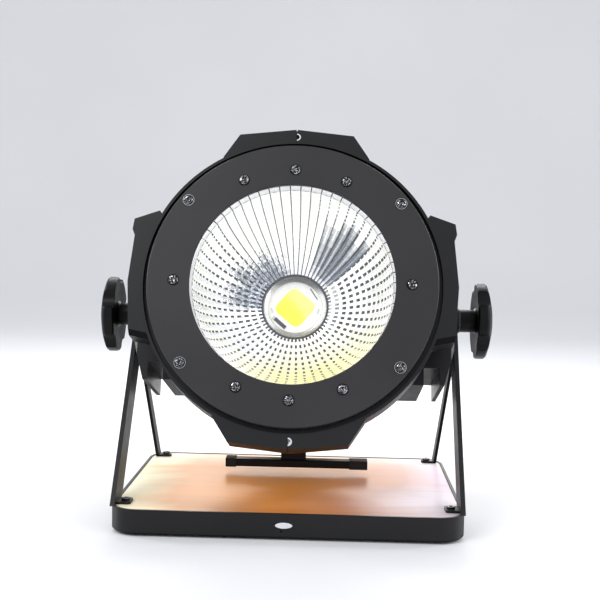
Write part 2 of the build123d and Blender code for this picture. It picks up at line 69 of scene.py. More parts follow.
# ---------------------------------------------------------------- camera
D, AZ, EL, ROLL, F_PX = 1.06015, math.radians(1.90), math.radians(4.59), math.radians(1.07), 1101.4
cpos = PIV + Vector((D * math.sin(AZ) * math.cos(EL), -D * math.cos(AZ) * math.cos(EL), D * math.sin(EL)))
fwd = (PIV - cpos).normalized()
right = fwd.cross(Vector((0, 0, 1))).normalized()
up = right.cross(fwd)
R = right * math.cos(ROLL) + up * math.sin(ROLL)
U = up * math.cos(ROLL) - right * math.sin(ROLL)
cam_data = bpy.data.cameras.new("camera")
cam = bpy.data.objects.new("camera", cam_data)
bpy.context.scene.collection.objects.link(cam)
cam_data.sensor_width = 36.0
cam_data.lens = F_PX * 36.0 / 600.0
cam_data.shift_x = 3.78 / 600.0
cam_data.shift_y = 17.47 / 600.0
cam_data.clip_start = 0.01
m = Matrix.Identity(4)
for i in range(3):
    m[i][0], m[i][1], m[i][2], m[i][3] = R[i], U[i], -fwd[i], cpos[i]
cam.matrix_world = m
bpy.context.scene.camera = cam


# ---------------------------------------------------------------- material helpers
class Mat:
    """A small helper round a node tree with one Principled shader."""

    def __init__(self, name):
        self.m = bpy.data.materials.new(name)
        self.m.use_nodes = True
        self.t = self.m.node_tree
        self.n = self.t.nodes
        self.l = self.t.links
        self.p = self.n["Principled BSDF"]
        self.tc = self.n.new("ShaderNodeTexCoord")
        self._bump = None

    def set(self, **kw):
        for k, v in kw.items():
            self.p.inputs[k.replace("_", " ")].default_value = v
        return self

    def vec(self, scale=(1, 1, 1), rot=(0, 0, 0), loc=(0, 0, 0), src="Object"):
        mp = self.n.new("ShaderNodeMapping")
        mp.inputs["Scale"].default_value = scale
        mp.inputs["Rotation"].default_value = rot
        mp.inputs["Location"].default_value = loc
        self.l.new(self.tc.outputs[src], mp.inputs["Vector"])
        return mp.outputs["Vector"]

    def noise(self, scale, detail=3.0, rough=0.5, vec=None, distort=0.0):
        nz = self.n.new("ShaderNodeTexNoise")
        nz.inputs["Scale"].default_value = scale
        nz.inputs["Detail"].default_value = detail
        nz.inputs["Roughness"].default_value = rough
        nz.inputs["Distortion"].default_value = distort
        self.l.new(vec or self.tc.outputs["Object"], nz.inputs["Vector"])
        return nz.outputs["Fac"]

    def voronoi(self, scale, vec=None, feature='F1'):
        vo = self.n.new("ShaderNodeTexVoronoi")
        vo.feature = feature
        vo.inputs["Scale"].default_value = scale
        self.l.new(vec or self.tc.outputs["Object"], vo.inputs["Vector"])
        return vo.outputs["Distance"]

    def ramp(self, fac, stops, interp='LINEAR'):
        r = self.n.new("ShaderNodeValToRGB")
        r.color_ramp.interpolation = interp
        e = r.color_ramp.elements
        while len(e) > 1:
            e.remove(e[-1])
        e[0].position, e[0].color = stops[0][0], (*stops[0][1], 1) if len(stops[0][1]) == 3 else stops[0][1]
        for pos, col in stops[1:]:
            q = e.new(pos)
            q.color = (*col, 1) if len(col) == 3 else col
        self.l.new(fac, r.inputs["Fac"])
        return r.outputs["Color"]

    def rng(self, fac, lo, hi, a=0.0, b=1.0):
        mr = self.n.new("ShaderNodeMapRange")
        mr.inputs["From Min"].default_value = a
        mr.inputs["From Max"].default_value = b
        mr.inputs["To Min"].default_value = lo
        mr.inputs["To Max"].default_value = hi
        self.l.new(fac, mr.inputs["Value"])
        return mr.outputs["Result"]

    def mix(self, fac, a, b, mode='MIX'):
        mx = self.n.new("ShaderNodeMix")
        mx.data_type = 'RGBA'
        mx.blend_type = mode
        for sock, v in ((0, fac), (6, a), (7, b)):
            if hasattr(v, "is_output"):
                self.l.new(v, mx.inputs[sock])
            elif isinstance(v, (tuple, list)):
                mx.inputs[sock].default_value = (*v, 1) if len(v) == 3 else v
            else:
                mx.inputs[sock].default_value = v
        return mx.outputs[2]

    def add(self, a, b, op='ADD'):
        q = self.n.new("ShaderNodeMath")
        q.operation = op
        for i, v in enumerate((a, b)):
            if hasattr(v, "is_output"):
                self.l.new(v, q.inputs[i])
            else:
                q.inputs[i].default_value = v
        return q.outputs[0]

    def link(self, out, name):
        self.l.new(out, self.p.inputs[name])
        return self

    def bump(self, height, strength=0.1, dist=0.0002):
        b = self.n.new("ShaderNodeBump")
        b.inputs["Strength"].default_value = strength
        b.inputs["Distance"].default_value = dist
        self.l.new(height, b.inputs["Height"])
        if self._bump:
            self.l.new(self._bump, b.inputs["Normal"])
        self._bump = b.outputs["Normal"]
        self.l.new(self._bump, self.p.inputs["Normal"])
        return self


def paint(name, lo, hi, rough=(0.32, 0.42), grain=2600, grain_strength=0.12, dist=0.00004, spec=0.5, wear=0.0, metallic=0.0, painted_under_shade=1.0, side=1.0):
    """Baked-on satin paint: fine orange peel, faint tonal drift, light handling marks."""
    a = Mat(name)
    drift = a.noise(9.0, 4.0, 0.55)
    col = a.ramp(drift, [(0.3, lo), (0.72, hi)])
    a.link(col, "Base Color")
    fine = a.noise(grain, 2.0, 0.6)
    broad = a.noise(60.0, 4.0, 0.6)
    a.link(a.rng(a.add(fine, broad, 'MULTIPLY'), rough[0], rough[1], 0.1, 0.45), "Roughness")
    a.bump(fine, grain_strength, dist)
    a.bump(a.noise(420.0, 2.0, 0.5), grain_strength * 0.6, dist * 2)
    a.set(Specular_IOR_Level=spec, Metallic=metallic)
    # painted shade: the sheen is cut on faces turned downward and on faces turned to the sides, so they read darker
    if painted_under_shade < 1.0 or side < 1.0:
        nz = a.n.new("ShaderNodeSeparateXYZ")
        a.l.new(a.tc.outputs["Normal"], nz.inputs[0])
        under = a.rng(nz.outputs["Z"], painted_under_shade, 1.0, -0.45, -0.12)
        ax = a.n.new("ShaderNodeMath"); ax.operation = 'ABSOLUTE'
        a.l.new(nz.outputs["X"], ax.inputs[0])
        painted_flank_shade = a.rng(ax.outputs[0], 1.0, side, 0.75, 0.95)
        a.link(a.add(a.add(under, painted_flank_shade, 'MULTIPLY'), spec, 'MULTIPLY'), "Specular IOR Level")
    return a


M = {}
# the shell's downward faces, and the stand's downward and sideways faces, get painted shade through the sheen cut
M["shell"] = paint("shell_paint", (0.0060, 0.0060, 0.0066), (0.0095, 0.0095, 0.0102), (0.30, 0.42), 2400, 0.08, spec=0.26, painted_under_shade=0.08).m
M["plate"] = paint("plate_paint", (0.0165, 0.0158, 0.0175), (0.0235, 0.0225, 0.0248), (0.36, 0.48), 3000, 0.08, spec=0.30).m
M["stand"] = paint("stand_paint", (0.0055, 0.0054, 0.0060), (0.0090, 0.0088, 0.0096), (0.32, 0.44), 1900, 0.12, spec=0.26, painted_under_shade=0.2, side=0.18).m
M["cover"] = paint("cover_paint", (0.0090, 0.0090, 0.010), (0.014, 0.014, 0.0155), (0.38, 0.52), 1900, 0.16, spec=0.34).m
M["bar"] = paint("bar_paint", (0.003, 0.003, 0.0033), (0.005, 0.005, 0.0055), (0.42, 0.56), 1900, 0.2, spec=0.2).m


def plastic(name, lo, hi, rough=(0.4, 0.55), grain=1500, g=0.25, spec=0.45, side=1.0):
    a = Mat(name)
    a.link(a.ramp(a.noise(30.0, 4.0, 0.6), [(0.3, lo), (0.7, hi)]), "Base Color")
    v = a.voronoi(grain)
    a.link(a.rng(a.noise(90.0, 3.0, 0.6), rough[0], rough[1], 0.3, 0.7), "Roughness")
    a.bump(v, g, 0.00005)
    a.set(Specular_IOR_Level=spec)
    # painted shade: the sheen is cut on faces turned to the sides
    if side < 1.0:
        nx = a.n.new("ShaderNodeSeparateXYZ")
        a.l.new(a.tc.outputs["Normal"], nx.inputs[0])
        ax = a.n.new("ShaderNodeMath"); ax.operation = 'ABSOLUTE'
        a.l.new(nx.outputs["X"], ax.inputs[0])
        a.link(a.rng(ax.outputs[0], spec, spec * side, 0.6, 0.9), "Specular IOR Level")
    return a.m


# knobs: painted shade on their sideways faces through the sheen cut
M["knob"] = plastic("knob_plastic", (0.0022, 0.0022, 0.0024), (0.0040, 0.0040, 0.0044), (0.30, 0.42), 1700, 0.16, 0.16, side=0.15)
M["plastic"] = plastic("black_plastic", (0.012, 0.012, 0.013), (0.022, 0.022, 0.023))
M["rubber"] = plastic("rubber", (0.010, 0.010, 0.010), (0.020, 0.020, 0.020), (0.7, 0.85), 900, 0.5, 0.3)
M["button"] = plastic("button_grey", (0.22, 0.225, 0.235), (0.30, 0.305, 0.315), (0.38, 0.5), 1700, 0.2)
M["sock_blue"] = plastic("socket_blue", (0.02, 0.08, 0.30), (0.03, 0.11, 0.36), (0.3, 0.42), 1700, 0.15)
M["sock_white"] = plastic("socket_white", (0.60, 0.61, 0.62), (0.68, 0.69, 0.70), (0.3, 0.42), 1700, 0.15)


def metal(name, lo, hi, rough=(0.18, 0.3), streak=(60, 2200, 60), g=0.06, metallic=1.0):
    a = Mat(name)
    v = a.vec(scale=streak)
    s = a.noise(1.0, 3.0, 0.6, vec=v)
    a.link(a.ramp(s, [(0.3, lo), (0.7, hi)]), "Base Color")
    a.link(a.rng(a.add(s, a.noise(140.0, 3.0, 0.6), 'MULTIPLY'), rough[0], rough[1], 0.1, 0.45), "Roughness")
    a.bump(s, g, 0.00003)
    a.set(Metallic=metallic)
    return a.m


M["steel"] = metal("screw_steel", (0.46, 0.47, 0.49), (0.66, 0.67, 0.69), (0.14, 0.26), (900, 900, 900))
M["dark_steel"] = metal("dark_steel", (0.030, 0.030, 0.034), (0.075, 0.075, 0.08), (0.16, 0.28), (900, 900, 900))
# black screw heads with bright silver flecks: painted glints
a = Mat("black_screw_painted_glints")
glint_noise = a.noise(780.0, 3.0, 0.65)
a.link(a.ramp(glint_noise, [(0.30, (0.012, 0.012, 0.013)), (0.52, (0.035, 0.035, 0.038)), (0.58, (0.40, 0.40, 0.42)), (0.70, (0.72, 0.72, 0.74))]), "Base Color")
a.link(a.rng(glint_noise, 0.34, 0.14, 0.3, 0.7), "Roughness")
a.bump(glint_noise, 0.2, 0.00006)
a.set(Metallic=1.0)
M["worn_screw"] = a.m
M["black_metal"] = metal("blackened_rim", (0.010, 0.010, 0.011), (0.02, 0.02, 0.022), (0.3, 0.45), (900, 900, 900))
M["alu"] = metal("plain_aluminium", (0.55, 0.56, 0.57), (0.70, 0.71, 0.72), (0.28, 0.42), (300, 300, 40))
M["brass"] = metal("brass", (0.62, 0.44, 0.18), (0.76, 0.56, 0.26), (0.2, 0.34), (900, 900, 900))
M["chrome"] = metal("chrome_ring", (0.74, 0.75, 0.78), (0.84, 0.85, 0.87), (0.04, 0.10), (50, 50, 50), 0.02)
# LED ring: painted reflections by height, warm grey at the bottom, white across the middle and dark at the top
a = Mat("led_ring_chrome")
sr = a.n.new("ShaderNodeSeparateXYZ")
a.l.new(a.vec(), sr.inputs[0])
ring_reflection_height = a.rng(sr.outputs["Z"], 0.0, 1.0, 0.157, 0.215)
a.link(a.ramp(a.add(ring_reflection_height, a.rng(a.noise(60.0, 3.0, 0.5), -0.04, 0.04, 0.3, 0.7)),
              [(0.02, (0.36, 0.34, 0.31)), (0.14, (0.42, 0.40, 0.37)), (0.26, (0.97, 0.97, 0.98)), (0.72, (0.98, 0.98, 0.99)), (0.84, (0.14, 0.14, 0.155)), (0.98, (0.09, 0.09, 0.10))]), "Base Color")
a.link(a.rng(a.noise(200.0, 3.0, 0.5), 0.16, 0.26, 0.3, 0.7), "Roughness")
a.set(Metallic=0.75)
M["ring"] = a.m
M["ballast"] = metal("ballast_steel", (0.18, 0.18, 0.19), (0.30, 0.30, 0.31), (0.4, 0.6), (60, 800, 60), 0.2)

# mirror-finish reflector: the coating's tone drifts a little at random; the warm yellow tint low in the bowl is a
# painted reflection, and the emission is a painted glow
def mirror(name, tone, painted_glow, rough=(0.22, 0.32)):
    a = Mat(name)
    cloud = a.ramp(a.noise(45.0, 4.0, 0.6), [(0.25, tuple(0.94 * c for c in tone)), (0.75, tone)])
    sz = a.n.new("ShaderNodeSeparateXYZ")
    a.l.new(a.vec(), sz.inputs[0])
    # painted reflection: the warm tint grows toward the bottom of the bowl and toward its right side
    low = a.add(a.rng(sz.outputs["Z"], 0.0, 1.0, 0.186, 0.118), a.rng(sz.outputs["X"], -0.32, 0.32, -0.080, 0.080))
    warm = a.ramp(a.add(low, a.rng(a.noise(30.0, 3.0, 0.5), -0.08, 0.08, 0.3, 0.7)), [(0.34, (1.0, 1.0, 1.0)), (0.92, (1.0, 0.94, 0.50))])
    col = a.mix(1.0, cloud, warm, 'MULTIPLY')
    a.link(col, "Base Color")
    a.link(col, "Emission Color")
    a.link(a.rng(a.noise(120.0, 4.0, 0.6), rough[0], rough[1], 0.3, 0.7), "Roughness")
    a.bump(a.noise(700.0, 2.0, 0.5), 0.03, 0.00002)
    # the metal shine is lowered toward the top of the bowl
    a.link(a.rng(sz.outputs["Z"], 0.72, 0.22, 0.205, 0.262), "Metallic")
    a.set(Emission_Strength=painted_glow, Specular_IOR_Level=0.4)
    return a.m


M["mirror"] = mirror("reflector_mirror", (0.985, 0.985, 0.99), 0.30)
# darker bluish copies of the mirror: painted reflections for the patches beside the light source
M["mirror_mid"] = mirror("reflector_painted_reflection_mid", (0.37, 0.40, 0.46), 0.04)
M["mirror_soft"] = mirror("reflector_mirror_soft", (0.64, 0.67, 0.72), 0.12)
M["mirror_dark"] = mirror("reflector_painted_reflection_dark", (0.15, 0.17, 0.22), 0.02)


def groove_shade_mat(name, lo, hi, metallic):
    a = Mat(name)
    a.link(a.ramp(a.noise(400.0, 3.0, 0.6), [(0.3, lo), (0.7, hi)]), "Base Color")
    a.link(a.rng(a.noise(300.0, 2.0, 0.5), 0.3, 0.45, 0.3, 0.7), "Roughness")
    a.set(Metallic=metallic, Specular_IOR_Level=0.15)
    return a.m


# dark groove materials in three strengths: painted shade and painted reflection in the grooves between facets
M["groove"] = groove_shade_mat("reflector_groove", (0.003, 0.0032, 0.0045), (0.012, 0.013, 0.018), 0.0)
M["groove_mid"] = groove_shade_mat("reflector_groove_soft", (0.10, 0.105, 0.12), (0.18, 0.185, 0.20), 0.3)
M["groove_faint"] = groove_shade_mat("reflector_groove_faint", (0.42, 0.42, 0.42), (0.56, 0.55, 0.52), 0.5)

# white ceramic LED board, with a faint painted glow
a = Mat("led_board_white")
a.link(a.ramp(a.noise(220.0, 4.0, 0.6), [(0.3, (0.86, 0.865, 0.86)), (0.7, (0.93, 0.93, 0.925))]), "Base Color")
a.link(a.rng(a.noise(500.0, 3.0, 0.6), 0.28, 0.42, 0.3, 0.7), "Roughness")
a.bump(a.voronoi(2600.0), 0.08, 0.00003)
a.set(Emission_Color=(1.0, 0.985, 0.95, 1.0), Emission_Strength=0.12)
M["board"] = a.m

# glowing phosphor: saturated along one edge, paler over the rest
a = Mat("led_phosphor")
v = a.vec(rot=(0, math.radians(-40), 0))
sep = a.n.new("ShaderNodeSeparateXYZ")
a.l.new(v, sep.inputs[0])
ED = {"sep": sep, "mat": a}
M["phosphor"] = a.m

# brushed, warm-tinted deck: fine streaks along X over a colour that drifts by X, with a little random wobble, from
# cream through orange to pink, a painted reflection; painted highlight toward the rear and painted shade along the
# front
a = Mat("deck_brushed")
st = a.noise(1.0, 6.0, 0.7, vec=a.vec(scale=(9.0, 1300.0, 40.0)))
st2 = a.noise(1.0, 4.0, 0.65, vec=a.vec(scale=(2.2, 260.0, 10.0)))
sx = a.n.new("ShaderNodeSeparateXYZ")
a.l.new(a.vec(), sx.inputs[0])
drift = a.noise(4.2, 3.0, 0.55, vec=a.vec(scale=(1.0, 2.0, 1.0)), distort=0.6)
# painted reflection: colour by X, cream at the left through orange to pink and lavender at the right
pos = a.add(a.rng(sx.outputs["X"], 0.0, 1.0, -0.150, 0.150), a.rng(drift, -0.09, 0.09, 0.3, 0.7))
tint = a.ramp(pos, [(0.0, (0.97, 0.93, 0.72)), (0.07, (0.96, 0.86, 0.60)), (0.17, (0.90, 0.48, 0.25)), (0.30, (0.95, 0.42, 0.16)), (0.50, (0.98, 0.36, 0.07)),
                    (0.66, (0.92, 0.38, 0.16)), (0.80, (0.78, 0.46, 0.40)), (0.92, (0.88, 0.74, 0.84)), (1.0, (0.92, 0.84, 0.93))])
# painted highlight: paler cream toward the rear edge
edge = a.rng(sx.outputs["Y"], 1.0, 0.0, 0.035, 0.095)
tint = a.mix(a.add(a.add(1.0, edge, 'SUBTRACT'), 0.55, 'MULTIPLY'), tint, (0.92, 0.84, 0.76), 'MIX')
# painted shade: a dark band along the front edge, except at the far left
front = a.rng(a.add(sx.outputs["Y"], a.rng(drift, -0.012, 0.012, 0.3, 0.7)), 0.50, 1.0, -0.128, -0.085)
middle = a.rng(a.add(sx.outputs["X"], 0.0), 0.0, 1.0, -0.115, -0.060)
tint = a.mix(a.add(a.add(1.0, front, 'SUBTRACT'), middle, 'MULTIPLY'), tint, (0.10, 0.035, 0.018), 'MIX')
streak = a.ramp(a.add(a.add(st, 0.6, 'MULTIPLY'), a.add(st2, 0.4, 'MULTIPLY')),
                [(0.36, (0.84, 0.80, 0.78)), (0.5, (0.98, 0.97, 0.96)), (0.64, (1.08, 1.07, 1.06))])
a.link(a.mix(0.75, tint, streak, 'MULTIPLY'), "Base Color")
a.link(a.rng(st, 0.30, 0.44, 0.3, 0.7), "Roughness")
a.bump(st, 0.10, 0.00004)
a.set(Metallic=0.0, Coat_Weight=0.03, Coat_Roughness=0.16, Specular_IOR_Level=0.10)
M["deck"] = a.m

# clear front glass: barely there, with faint dust
a = Mat("front_glass_clear")
a.link(a.ramp(a.noise(600.0, 5.0, 0.7), [(0.45, (0.93, 0.96, 0.96)), (0.75, (1.0, 1.0, 1.0))]), "Base Color")
a.link(a.rng(a.noise(240.0, 4.0, 0.6), 0.01, 0.04, 0.3, 0.7), "Roughness")
a.set(Alpha=0.045)
a.m.surface_render_method = 'BLENDED'
M["glass"] = a.m

a = Mat("board_green")
a.link(a.ramp(a.noise(300.0, 3.0, 0.6), [(0.3, (0.02, 0.12, 0.05)), (0.7, (0.03, 0.17, 0.08))]), "Base Color")
a.link(a.rng(a.noise(400.0, 2.0, 0.5), 0.3, 0.45), "Roughness")
M["pcb"] = a.m
a = Mat("display_glass")
a.link(a.ramp(a.noise(80.0, 3.0, 0.6), [(0.3, (0.004, 0.006, 0.010)), (0.7, (0.008, 0.012, 0.018))]), "Base Color")
a.link(a.rng(a.noise(300.0, 3.0, 0.5), 0.06, 0.12), "Roughness")
a.set(Coat_Weight=0.6, Coat_Roughness=0.04)
M["display"] = a.m


# ---------------------------------------------------------------- mesh helpers
def new_obj(name, verts, faces, mats, idx=None, smooth=True, head=True):
    me = bpy.data.meshes.new(name)
    me.from_pydata([tuple(HEAD @ Vector(v)) if head else tuple(v) for v in verts], [], faces)
    for q in mats:
        me.materials.append(q)
    if idx:
        for p, i in zip(me.polygons, idx):
            p.material_index = i
    for p in me.polygons:
        p.use_smooth = smooth
    me.update()
    o = bpy.data.objects.new(name, me)
    bpy.context.scene.collection.objects.link(o)
    return o


def fix_normals(o):
    bm = bmesh.new()
    bm.from_mesh(o.data)
    bmesh.ops.remove_doubles(bm, verts=bm.verts, dist=1e-6)
    bmesh.ops.recalc_face_normals(bm, faces=bm.faces)
    bm.to_mesh(o.data)
    bm.free()
    return o


def lathe(name, prof, mat, seg=96, axis_pts=None, smooth=True, close=True, head=True, centre=(0, 0)):
    """Turned body about the head axis (local Y) from (r, y) in mm. The profile is closed."""
    vs, fs = [], []
    n = len(prof)
    for i in range(seg):
        a_ = 2 * math.pi * i / seg
        for r, y in prof:
            vs.append((mm(centre[0] + r * math.cos(a_)), mm(y), mm(centre[1] + r * math.sin(a_))))
    for i in range(seg):
        j = (i + 1) % seg
        for k in range(n if close else n - 1):
            k2 = (k + 1) % n
            fs.append((i * n + k, i * n + k2, j * n + k2, j * n + k))
    o = new_obj(name, vs, fs, [mat], smooth=smooth, head=head)
    return fix_normals(o)


def bevel(o, width=0.0004, seg=2, angle=35, harden=True):
    if "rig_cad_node" in o:
        w = o.modifiers.new("weld", 'WELD')
        w.merge_threshold = 0.000005
        dm = o.modifiers.new("planar", 'DECIMATE')
        dm.decimate_type = 'DISSOLVE'
        dm.angle_limit = math.radians(0.4)
    md = o.modifiers.new("edge", 'BEVEL')
    md.width = width
    md.segments = seg
    md.limit_method = 'ANGLE'
    md.angle_limit = math.radians(angle)
    md.harden_normals = harden
    md.use_clamp_overlap = True
    if "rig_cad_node" in o:
        o.modifiers.new("weighted", 'WEIGHTED_NORMAL').keep_sharp = True
    return o


def auto_smooth(o, angle=32):
    """Sharp edges kept, the rest shaded smooth."""
    bm = bmesh.new()
    bm.from_mesh(o.data)
    for e in bm.edges:
        e.smooth = not (len(e.link_faces) == 2 and e.calc_face_angle(0) > math.radians(angle))
    bm.to_mesh(o.data)
    bm.free()
    for p in o.data.polygons:
        p.use_smooth = True
    return o


def polar(r, deg):
    a_ = math.radians(deg)
    return r * math.sin(a_), r * math.cos(a_)


# ---------------------------------------------------------------- CAD nodes keep their shape, better material
NODE_MAT = {
    "left_shell": "shell", "right_shell": "shell", "front_plate": "plate", "seam_pins": "chrome", "pivot_inserts": "brass",
    "glass_gasket": "rubber", "front_glass": "glass", "bulkhead_plate": "alu", "heat_sink": "alu", "fan_frame": "plastic",
    "fan_rotor": "plastic", "fan_screws": "steel", "driver_bracket": "alu", "driver_box": "alu", "control_board": "pcb",
    "rear_cover": "cover", "cover_screws": "dark_steel", "control_panel": "plastic", "display_window": "display",
    "button_menu": "button", "button_down": "button", "button_up": "button", "button_enter": "button",
    "power_in_socket": "sock_blue", "power_out_socket": "sock_white", "data_in_socket": "plastic", "data_out_socket": "plastic",
    "fuse_holder": "plastic", "safety_eye": "stand", "foot_bar": "bar", "foot_bar_pads": "rubber", "foot_bar_neck": "bar",
    "knob_stud_left": "steel", "knob_stud_right": "steel", "knob_washer_left": "dark_steel", "knob_washer_right": "dark_steel",
    "base_tray": "stand", "base_deck": "deck", "ballast_plate": "ballast", "rubber_feet": "rubber",
    "front_leg_left": "stand", "front_leg_right": "stand", "rear_stay_left": "stand", "rear_stay_right": "stand",
    "leg_screws": "dark_steel", "friction_washers": "plastic", "knob_left": "knob", "knob_right": "knob",
    "plate_screws_small": "steel", "plate_screws_large": "steel", "reflector": "mirror", "led_ring": "chrome",
    "led_board": "board", "led_emitter": "phosphor", "rim_plug": "chrome",
}
BEVEL = {"left_shell": 0.0011, "right_shell": 0.0011, "base_tray": 0.0005, "front_leg_left": 0.0007,
         "front_leg_right": 0.0007, "rear_stay_left": 0.0005, "rear_stay_right": 0.0005, "rear_cover": 0.0004,
         "control_panel": 0.0005, "foot_bar": 0.0004, "foot_bar_pads": 0.0005, "foot_bar_neck": 0.0004, "safety_eye": 0.0006,
         "knob_left": 0.0005, "knob_right": 0.0005, "base_deck": 0.0003}
for name, o in frame["nodes"].items():
    mat = M[NODE_MAT.get(name, "plastic")]
    if not o.data.materials:
        o.data.materials.append(mat)
    for s in o.material_slots:
        s.link = 'OBJECT'
        s.material = mat
    if name in BEVEL:
        bevel(o, BEVEL[name], 2, 30)

# ---------------------------------------------------------------- reflector: convex facets between fine grooves
PROF = [(87.4, -113.3), (85.5, -104), (81.7, -92), (75.9, -80), (67.7, -68), (56.9, -57), (43.4, -47.2), (30.4, -40.8)]


def prof_at(s):
    """Point and inward normal on the bowl, s from 0 at the mouth to 1 at the light source."""
    n = len(PROF) - 1
    x = min(max(s, 0.0), 1.0) * n
    i = min(int(x), n - 1)
    f = x - i

    def cr(k):
        p = [PROF[min(max(j, 0), n)] for j in (i - 1, i, i + 1, i + 2)]
        a_, b_, c_, d_ = (q[k] for q in p)
        return 0.5 * (2 * b_ + (c_ - a_) * f + (2 * a_ - 5 * b_ + 4 * c_ - d_) * f * f + (3 * b_ - a_ - 3 * c_ + d_) * f ** 3)
    return cr(0), cr(1)


NA, NR, SU, SV = 60, 15, 6, 4
vs, fs, ix = [], [], []


def bowl_point(s, ang, h):
    r, y = prof_at(s)
    r2, y2 = prof_at(min(s + 0.004, 1.0))
    r1, y1 = prof_at(max(s - 0.004, 0.0))
    tr, ty = r2 - r1, y2 - y1
    l_ = math.hypot(tr, ty) or 1
    nr, ny = -ty / l_, tr / l_       # towards the axis and the mouth
    rr, yy = r + nr * h, y + ny * h
    return (mm(rr * math.sin(ang)), mm(yy), mm(rr * math.cos(ang)))


rnd = random.Random(11)


def soft(x, a_, b_):
    return max(0.0, min(1.0, (x - a_) / (b_ - a_)))


def ang_in(m_, lo_, hi_, fade):
    """1 inside the angular band lo..hi (degrees), fading outside."""
    c_ = (lo_ + hi_) / 2
    d_ = abs((m_ - c_ + 180) % 360 - 180) - (hi_ - lo_) / 2
    return 1.0 - soft(d_, 0.0, fade)


for i in range(NA):
    a0 = 2 * math.pi * (i - 0.5) / NA
    da = 2 * math.pi / NA
    mid = math.degrees(a0 + da / 2) % 360
    top = ang_in(mid, -46, 54, 8)                      # plain flutes near the top, facets elsewhere
    fl_n = rnd.uniform(-0.16, 0.16)
    ragged = rnd.uniform(-0.06, 0.05)
    for j in range(NR):
        s0, s1 = j / NR, (j + 1) / NR
        sm = (s0 + s1) / 2
        rmid = prof_at(sm)[0]
        thick = ang_in(mid, 38, 74, 10) * soft(0.80 - sm, 0.0, 0.35)
        wide = ((0.44 + 0.55 * thick) * top + (0.92 + 0.30 * ang_in(mid, 62, 118, 14) + 0.20 * math.sin(math.pi * sm)) * (1 - top))
        if 232 < mid < 316 and top < 0.5:
            wide *= rnd.uniform(0.80, 1.08)
        gw = wide / rmid / da                            # groove half width as a share of the flute
        us = [0.0, gw] + [gw + (1 - 2 * gw) * k / SU for k in range(1, SU)] + [1 - gw, 1.0]
        span = min(0.999, 0.50 + 0.06 * ang_in(mid, 62, 118, 14) + 0.50 * top + rnd.uniform(-0.06, 0.06) * (1 - top))
        if 232 < mid < 316:
            span = rnd.uniform(0.50, 0.74)
        if 54 < mid < 80 and sm < 0.6 and top < 0.5:
            span = rnd.uniform(0.66, 0.86)
        if sm < 0.34 and 14 < mid < 60:
            span = rnd.uniform(0.30, 0.80)                 # broken ends of the flutes, upper right
        cut = [0.0, 0.5 - 0.5 * span] + [0.5 - 0.5 * span + span * k / SV for k in range(1, SV)] + [0.5 + 0.5 * span, 1.0]
        base = len(vs)
        nu, nv = len(us), len(cut)
        dark_rows = range(1, nv - 2)
        for v_ in cut:
            for u_ in us:
                cu = max(0.0, 1 - (2 * u_ - 1) ** 2)
                cv = max(0.0, 1 - (2 * v_ - 1) ** 2) * (1 - top)
                h = (0.0060 * rmid) * cu + 0.14 * cv
                if u_ == 0.0 or u_ == 1.0:
                    h = 0.14 * cv - 0.08
                vs.append(bowl_point(s0 + (s1 - s0) * v_, a0 + da * u_, h))
        # how dark the groove marks are here, as painted shade: full on the flanks and near the light source, fading low
        # and far out
        right_, left_, low_ = ang_in(mid, 62, 118, 14), ang_in(mid, 238, 306, 14), ang_in(mid, 128, 232, 12)
        lev = max(top, right_ * (0.95 if 0.10 < sm < 0.86 else 0.35), left_ * (0.97 if sm < 0.80 else 0.85),
                  low_ * (1.0 if sm > 0.56 else 0.62 if sm > 0.34 else 0.30), 0.45)
        lev += rnd.uniform(-0.10, 0.10)
        gm = 1 if lev > 0.72 else 2 if lev > 0.46 else 3
        # painted reflection: darker bluish patches either side of the light source, a streaked wedge at the upper right
        # and speckles on the left and upper left
        reflection_wedge = ang_in(mid, 26, 54, 7) * soft(sm, 0.32 + 1.6 * ragged, 0.66 + ragged) * (1 - 0.8 * soft(sm, 0.84, 0.98))
        reach = 0.665 + ragged + 0.0042 * max(0.0, mid - 300 if mid > 180 else 0.0)
        reflection_patch = ang_in(mid, 268, 340, 10) * soft(sm, reach - 0.07, reach + 0.13)
        for q in range(nv - 1):
            for p in range(nu - 1):
                aidx = base + q * nu + p
                fs.append((aidx, aidx + 1, aidx + nu + 1, aidx + nu))
                if p in (0, nu - 2) and (q in dark_rows or (top > 0.5 and not (sm < 0.34 and 14 < mid < 60))):
                    ix.append(gm)
                    continue
                shade = reflection_wedge * (0.16 + 1.15 * abs((p - 0.5) / (nu - 2) - 0.5) * 2 + 1.4 * fl_n + 0.45 * ang_in(mid, 40, 54, 7))
                if reflection_patch > 0.04:
                    shade = max(shade, reflection_patch + rnd.uniform(-0.62, 0.30))
                ix.append(0 if shade < 0.22 else 6 if shade < 0.50 else 4 if shade < 0.88 else 5)
refl = new_obj("reflector_faceted", vs, fs, [M["mirror"], M["groove"], M["groove_mid"], M["groove_faint"], M["mirror_mid"], M["mirror_dark"], M["mirror_soft"]],
               ix, smooth=True)
